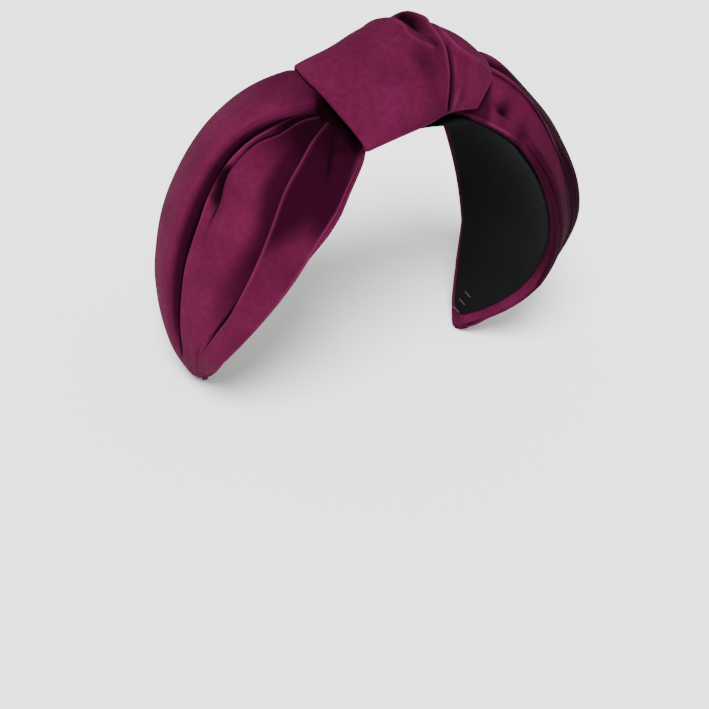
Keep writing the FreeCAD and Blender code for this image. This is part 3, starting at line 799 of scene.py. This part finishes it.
def wing_under(side, material, rows=160, columns=70):
    """The velvet under a wing, which shows as a sliver outside the outer ply's edge."""
    end = 1.0 + TIP_ROUND / wing_length(side) - 1e-3
    fraction = np.linspace(INNER_END, end, rows)[:, None]
    turn = np.linspace(1.0, -1.0, columns)[None, :]
    half = width_beside(side, fraction, turn)
    half = half + UNDER_SHOWING[side] * window(fraction, -0.10, 0.02, 0.18, 0.34) - UNDER_INSET
    half = np.maximum(half, 0.3)
    seam = seam_height(fraction, half)
    foot = np.minimum(seam - UNDER_FOOT, UNDER_MIDDLE - 0.2)
    height = UNDER_MIDDLE + (foot - UNDER_MIDDLE) * turn ** 2
    height = height + 1.2 * ramp(np.abs(turn), 0.93, 1.0)
    meeting = ramp(np.abs(turn), 0.55, 1.0) * ramp(fraction, 0.88, 0.94)
    meeting = np.maximum(meeting, ramp(fraction, 0.985, 1.015))
    height = height + (seam - CLOTH - height) * meeting
    points = band(side, station_at(side, fraction), half * turn, height)
    shaded = UNDER_SHADE[side] * window(fraction, -0.1, 0.0, 0.6, 0.8) * np.ones_like(turn)
    return sheet_mesh(f"{SIDE_NAMES[side]}_under_velvet", points, CLOTH, material, side,
                      {"shaded": shaded})


def wing_lining(side, material, rows=150, columns=50):
    """The black facing inside a wing, from the middle of the crown to the tip."""
    crown = -MOUTH[side] / wing_length(side)
    fraction = np.linspace(crown, LINING_END, rows)[:, None]
    turn = np.linspace(1.0, -1.0, columns)[None, :]
    half = width_beside(side, fraction, turn)
    under = np.maximum(half - UNDER_INSET, 0.3)
    past = np.clip((fraction - LINING_END + LINING_ROUND) / LINING_ROUND, 0.0, 0.985)
    width = np.maximum(half - LINING_MARGIN, 0.6 * half) * np.sqrt(1 - past ** 2)
    width = CROWN_LINING + (width - CROWN_LINING) * ramp(fraction, -0.10, 0.02)
    foot = np.minimum(seam_height(fraction, under) - UNDER_FOOT, UNDER_MIDDLE - 0.2)
    across = width * turn
    fall = (foot - UNDER_MIDDLE) * (across / np.maximum(under, 10.0)) ** 2
    height = fall * ramp(fraction, -0.10, 0.02) + 0.3 * turn ** 2 * ramp(fraction, -0.02, 0.10)
    points = band(side, station_at(side, fraction), across, height)
    return sheet_mesh(f"{SIDE_NAMES[side]}_lining", points, LINING_CLOTH, material, side)


# Knot -----------------------------------------------------

DEGREE = 1.6                # mm along the knot's top for a degree round the crown
HEM = 1.3                   # radius of a wrap's rolled rim
HEM_TUCKS = (3.0, 1.5)      # how far the hem's edge runs back under the wrap
HEM_UNDERNEATH = 0.35       # share of the roll that is left where the wrap passes under the band
WRAP_FOOT = 1.15            # the wraps pass under the band this far above the seat
WRAP_SWING = (-72, 252)     # degrees round the band, from one end beneath it to the other
RIM_REACH = 27.0            # half-width of the knot for which the rims below are given

# Sections across the knot by angle from the crown in degrees: half-widths in front and behind,
# height of the widest place and height of the top.
FRONTS = ((-28, 29), (-24, 29.5), (-20, 30), (-14, 30), (-7, 29), (-1, 26.8), (4, 23.8), (8, 22),
          (12, 21), (16, 20), (20, 18.3), (26, 16.8))
BACKS = ((-28, 25), (-20, 24.5), (-13, 24), (-7, 26), (0, 26.5), (6, 26), (12, 24), (20, 22), (26, 20))
WAISTS = ((-28, 4.5), (-24, 5), (-10, 6), (0, 6.5), (10, 7), (16, 8), (26, 8.5))
MAIN_TOPS = ((-28, 12.4), (-24, 12.9), (-19, 14.4), (-13, 17.2), (-8, 19.5), (-5.5, 21.5), (-2, 24),
             (4, 25.8), (8, 25.2), (12, 24))
SECOND_TOPS = ((0, 17), (4, 19.6), (7, 23.6), (12, 23.6), (17, 22), (21, 20), (24, 18.4), (28, 16))

# Rims: angle from the crown by distance across, for a knot RIM_REACH wide each way.
MAIN_LEFT = ((-30, -23.4), (-15, -24.2), (0, -24.4), (15, -24.6), (28, -23.6))
MAIN_RIGHT = ((-30, 3), (-27.5, 3.5), (-25, 3.8), (-21, 4.5), (-16, 5.1), (-10, 5.8), (-4, 6), (4, 6.7),
              (10, 8.2), (18, 10), (28, 11))
SECOND_LEFT = ((-30, -2), (0, 1), (28, 4))
SECOND_RIGHT = ((-30, 15.6), (-27, 17.3), (-25, 18.7), (-22.5, 20.2), (-18, 21.5), (-11.4, 22.3),
                (-4, 23.5), (0, 24.6), (8, 25), (18, 23.5), (28, 21))

# Folds pressed into the wraps: (angle, across, push outwards, width) along each fold.
MAIN_FOLDS = (
    # the back fold that stands up behind the front panel and turns along it
    ((-1.2, 26, 1, 2.6), (-1.2, 18, 1, 2.6), (-1, 13, 1.5, 2.6), (-1, 8, 2, 2.6), (-0.8, 4, 1.6, 2.2),
     (-1.2, 0, 1.2, 2), (-0.4, -5, 1, 2), (1.6, -8, 0.8, 2), (3.6, -10, 0.3, 2.4)),
    # the loop that curls round the pocket and runs down the right rim
    ((4.4, 24, 0.8, 3.2), (5.8, 17, 2.4, 2.8), (7.4, 11, 1.8, 2.2), (7.2, 5, 1.3, 2),
     (6.4, -1, 1.2, 1.9), (5.6, -8, 1, 1.9), (4.4, -15, 0.9, 2.2), (2.8, -21, 0.6, 2.6)),
    # the pocket and the valley below it
    ((2.4, 17, -0.8, 1.6), (3.2, 13.5, -4.2, 2.4), (3.8, 10, -5.6, 3), (3.7, 6, -3.6, 3),
     (3.4, 1, -1.9, 3), (3.6, -4, -1.3, 2.8), (4, -9, -0.8, 2.6), (3.4, -14, -0.4, 2.6)),
    # a soft trough between the panel and the rim
    ((-3.2, -5, 0, 3.2), (-1.9, -9, -1, 3.4), (-0.7, -12.5, -1.6, 3.6), (-0.6, -16, -1.6, 3.8),
     (-0.5, -20, -1.1, 3.8), (-0.5, -27, 0, 4)),
    # dents near the lower edge
    ((-17.5, -20, 0, 3.4), (-17, -25, -0.6, 3.4), (-16.6, -30, -0.6, 3.4)),
    ((-11, -20, 0, 3.4), (-10.6, -25, -0.6, 3.4), (-10.2, -30, -0.6, 3.4)),
)
# Painted shade in the pocket and the trough: (angle, across, depth of shade, width) along each.
MAIN_SHADE = (
    ((3.2, 19, 0, 1.6), (3.7, 16.4, 1, 2.6), (4.3, 14.2, 1, 3), (4.7, 11.5, 1, 3), (4.4, 7.5, 0.6, 2.4),
     (3.8, 2, 0.4, 2.4), (3.6, -3, 0.25, 2.4), (4, -10, 0.15, 2.6), (3.6, -18, 0.1, 3)),
    ((-2.6, -7, 0, 3), (-1, -10.5, 0.35, 3.2), (-0.5, -13.5, 0.4, 3.6), (-0.5, -18, 0.3, 3.6),
     (-0.3, -23, 0.15, 3.4), (-0.3, -28, 0, 3)),
)
SECOND_FOLDS = (
    # the fold that runs from under the main wrap's rim back along the top, and the dip behind it
    ((9.8, 12, 0.2, 1.6), (9.3, 5.6, 0.9, 1.6), (8.4, -1, 1.3, 1.6), (8.6, -5, 1.5, 1.6),
     (9.8, -8.5, 1.6, 1.6), (12.9, -10.4, 1.5, 1.6), (16.8, -11.4, 1.1, 1.8), (20, -12, 0.4, 2)),
    ((10.8, 5, -0.3, 3), (11.5, -1, -0.9, 3), (13.8, -5, -0.9, 3), (17, -6.5, -0.4, 3)),
    # a pull near the lower edge, and the dip beside it
    ((10, -13, 0, 1.6), (9.4, -15, 0.2, 1.5), (8.9, -17.7, 0.5, 1.5), (7.2, -21, 0.7, 1.5),
     (6.1, -24, 0.6, 1.6)),
    ((12, -14, 0, 2.4), (11.4, -17, -0.3, 2.4), (9.6, -21, -0.5, 2.2), (8.4, -24, -0.3, 2)),
    # the slit beside the rim
    ((7, -6, 0, 1), (6.6, -11, -1.2, 1), (5.8, -16, -2, 1.1), (4.9, -21, -1.8, 1.2),
     (4.4, -25, -0.6, 1.2)),
)
# Painted shade in the slit between the wraps.
SECOND_SHADE = (
    ((7.4, -3, 0, 1), (6.9, -9, 0.9, 0.9), (6, -16, 1, 1), (5.1, -21, 1, 1.2), (4.5, -25, 0.6, 1.2)),
)


def folds_push(angle, across, folds):
    """Sum of the strokes of a wrap's folds, at angles in degrees and distances across in mm."""
    total = 0.0
    for fold in folds:
        scaled = [(DEGREE * a, y, push, width) for a, y, push, width in fold]
        total = total + stroke(DEGREE * angle, across, scaled)
    return total


def hem_rows(count, turn=7):
    """Rows from one rolled rim to the other: (share of the wrap, mm outwards, mm of drop)."""
    bends = np.linspace(math.pi, 0, turn)[:-1]
    rolled = [(HEM * math.sin(b) - HEM, HEM * (1 - math.cos(b))) for b in bends]
    tucked = [(-HEM - tuck, 2 * HEM) for tuck in HEM_TUCKS]
    before = [(0.0, -out, drop) for out, drop in tucked + rolled]
    middle = [(share, HEM * (1 - 2 * share), 0.0) for share in np.linspace(0, 1, count)]
    after = [(1.0, out, drop) for out, drop in (tucked + rolled)[::-1]]
    return np.array(before + middle + after)


def wrap_mesh(name, material, rims, tops, folds, shade, rows, columns):
    """A wrap of the knot: a strip from rim to rim, carried over the band and under it."""
    first, last = (math.radians(turn) for turn in WRAP_SWING)
    swing = np.linspace(first, last, columns)[None, :]
    reach, lift = -np.cos(swing), np.sin(swing)
    table = hem_rows(rows)
    share, outwards, drop = (table[:, k][:, None] for k in range(3))
    nominal = RIM_REACH * reach
    left, right = through(rims[0], nominal), through(rims[1], nominal)
    angle = left + (right - left) * share + outwards / DEGREE
    half = np.where(reach < 0, through(FRONTS, angle), through(BACKS, angle))
    waist = through(WAISTS, angle)
    upper = through(tops, angle) - waist
    push = folds_push(angle, half * reach, folds) * ramp(lift, -0.2, 0.25) - drop
    across = half * reach + push * reach
    below = (waist - WRAP_FOOT) * lift
    height = waist + np.where(lift > 0, upper * lift, below) + push * np.maximum(lift, 0)
    height = height + drop * ramp(-lift, 0.0, 0.5) * HEM_UNDERNEATH
    points = band(LEFT, SEAT_RADIUS * np.radians(angle), across, height)
    upper_side = ramp(lift, -0.2, 0.1)
    # Where a painted sheen may show, painted shade in the folds, and broad painted shade by angle.
    masks = {"painted_sheen_allowed": ramp(share, 0.05, 0.30) * np.ones_like(angle),
             "shaded": np.clip(folds_push(angle, half * reach, shade), 0, 1) * upper_side,
             "painted_broad_shade": 0.12 * ramp(angle, -20.0, -8.0) + 0.20 * window(angle, -6.0, 2.0, 5.0, 9.0)}
    return sheet_mesh(name, points, CLOTH, material, LEFT, masks)


# Camera, floor and light ----------------------------------

CAMERA_PLACE = (-340.1, -447.6, 320.9)      # mm from the middle of the crown's seat line
CAMERA_TURNS = (-38.03, 38.07, 14.04)       # azimuth, elevation and roll in degrees
LENS = 90.94
SENSOR = 36.0


def add_camera():
    """The portrait view: from the wearer's front right and above, tipped a little."""
    data = bpy.data.cameras.new("camera")
    camera = add_object("camera", data)
    azimuth, elevation, roll = (math.radians(turn) for turn in CAMERA_TURNS)
    camera.location = Vector(CAMERA_PLACE) * MM
    look = Euler((math.pi / 2 - elevation, 0.0, azimuth), "XYZ").to_matrix()
    camera.rotation_euler = (look @ Matrix.Rotation(roll, 3, "Z")).to_euler()
    data.sensor_width = SENSOR
    data.lens = LENS
    data.clip_start = 0.01
    data.clip_end = 50.0
    bpy.context.scene.camera = camera


def add_sun(name, towards, spread_degrees, strength):
    """A soft far light; towards points from the band to the light."""
    data = bpy.data.lights.new(name, "SUN")
    data.angle = math.radians(spread_degrees)
    data.energy = strength
    light = add_object(name, data)
    light.rotation_euler = Vector(towards).to_track_quat("Z", "Y").to_euler()


FLOOR_HALF = 6.0            # metres


def add_floor(height, material):
    """A square floor at the given height, in metres."""
    mesh = bpy.data.meshes.new("floor")
    corners = [(x * FLOOR_HALF, y * FLOOR_HALF, height)
               for x, y in ((-1, -1), (1, -1), (1, 1), (-1, 1))]
    mesh.from_pydata(corners, [], [(0, 1, 2, 3)])
    mesh.materials.append(material)
    floor = add_object("floor", mesh)
    floor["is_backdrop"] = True


def add_world(strength):
    """Even soft light from all round."""
    world = bpy.data.worlds.new("studio")
    bpy.context.scene.world = world
    world.use_nodes = True
    background = world.node_tree.nodes["Background"]
    background.inputs["Color"].default_value = (1.0, 0.995, 0.985, 1.0)
    background.inputs["Strength"].default_value = strength


# The scene ------------------------------------------------

BLEND_HALF = 6.0            # ends this far each side of the hinge are worked out in add_wing but not used


def add_wing(side, velvet, lining):
    """A wing's three cloths, which run from the crown onto the arm."""
    label = SIDE_NAMES[side]
    hinge = MOUTH[side]
    start, end = band(side, np.array([hinge - BLEND_HALF, hinge + BLEND_HALF]), 0, 3.0) * MM
    outer = wing_outer(side, velvet)
    under = wing_under(side, velvet)
    facing = wing_lining(side, lining)
    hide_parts(f"{label}_outer_ply", f"{label}_wadding", f"{label}_tip_tuck")
    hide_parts(f"{label}_under_ply")
    crown_facing = ("lining_crown",) if side == RIGHT else ()
    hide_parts(f"lining_{label}_arm", *crown_facing)
    for piece, slot in ((outer, "velvet"), (under, "velvet"), (facing, "lining")):
        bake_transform(piece)


def add_knot(velvet):
    """The knot's two wraps, which ride on the crown."""
    main = wrap_mesh("knot_main_velvet", velvet, (MAIN_LEFT, MAIN_RIGHT), MAIN_TOPS, MAIN_FOLDS,
                     MAIN_SHADE, rows=176, columns=248)
    second = wrap_mesh("knot_second_velvet", velvet, (SECOND_LEFT, SECOND_RIGHT), SECOND_TOPS,
                       SECOND_FOLDS, SECOND_SHADE, rows=100, columns=240)
    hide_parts("knot_main_wrap", "knot_wadding")
    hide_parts("knot_second_wrap")
    for piece in (main, second):
        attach(piece, "crown")


def dress_nodes(velvet):
    """Materials for the CAD nodes that stay in sight."""
    plastic = plain_material("core_plastic", (0.30, 0.29, 0.27), 0.5)
    thread = plain_material("thread", (0.035, 0.003, 0.016), 0.6)
    materials = {
        "core_crown": plastic, "core_right_arm": plastic, "core_left_arm": plastic,
        "right_tube_seam": velvet, "left_tube_seam": velvet, "right_tip_stitches": thread,
        "left_tip_stitches": thread, "knot_tack_stitches": thread,
    }
    for node, material in materials.items():
        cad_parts[node].data.materials.clear()
        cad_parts[node].data.materials.append(material)


add_camera()
velvet_cloth = velvet_material()
lining_cloth = lining_material()
add_world(strength=0.92)
add_sun("key", towards=(-0.56, -0.50, 1.10), spread_degrees=24.0, strength=8.2)
for hand in (RIGHT, LEFT):
    add_wing(hand, velvet_cloth, lining_cloth)
add_knot(velvet_cloth)
dress_nodes(velvet_cloth)
add_floor(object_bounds()[0].z, floor_material())
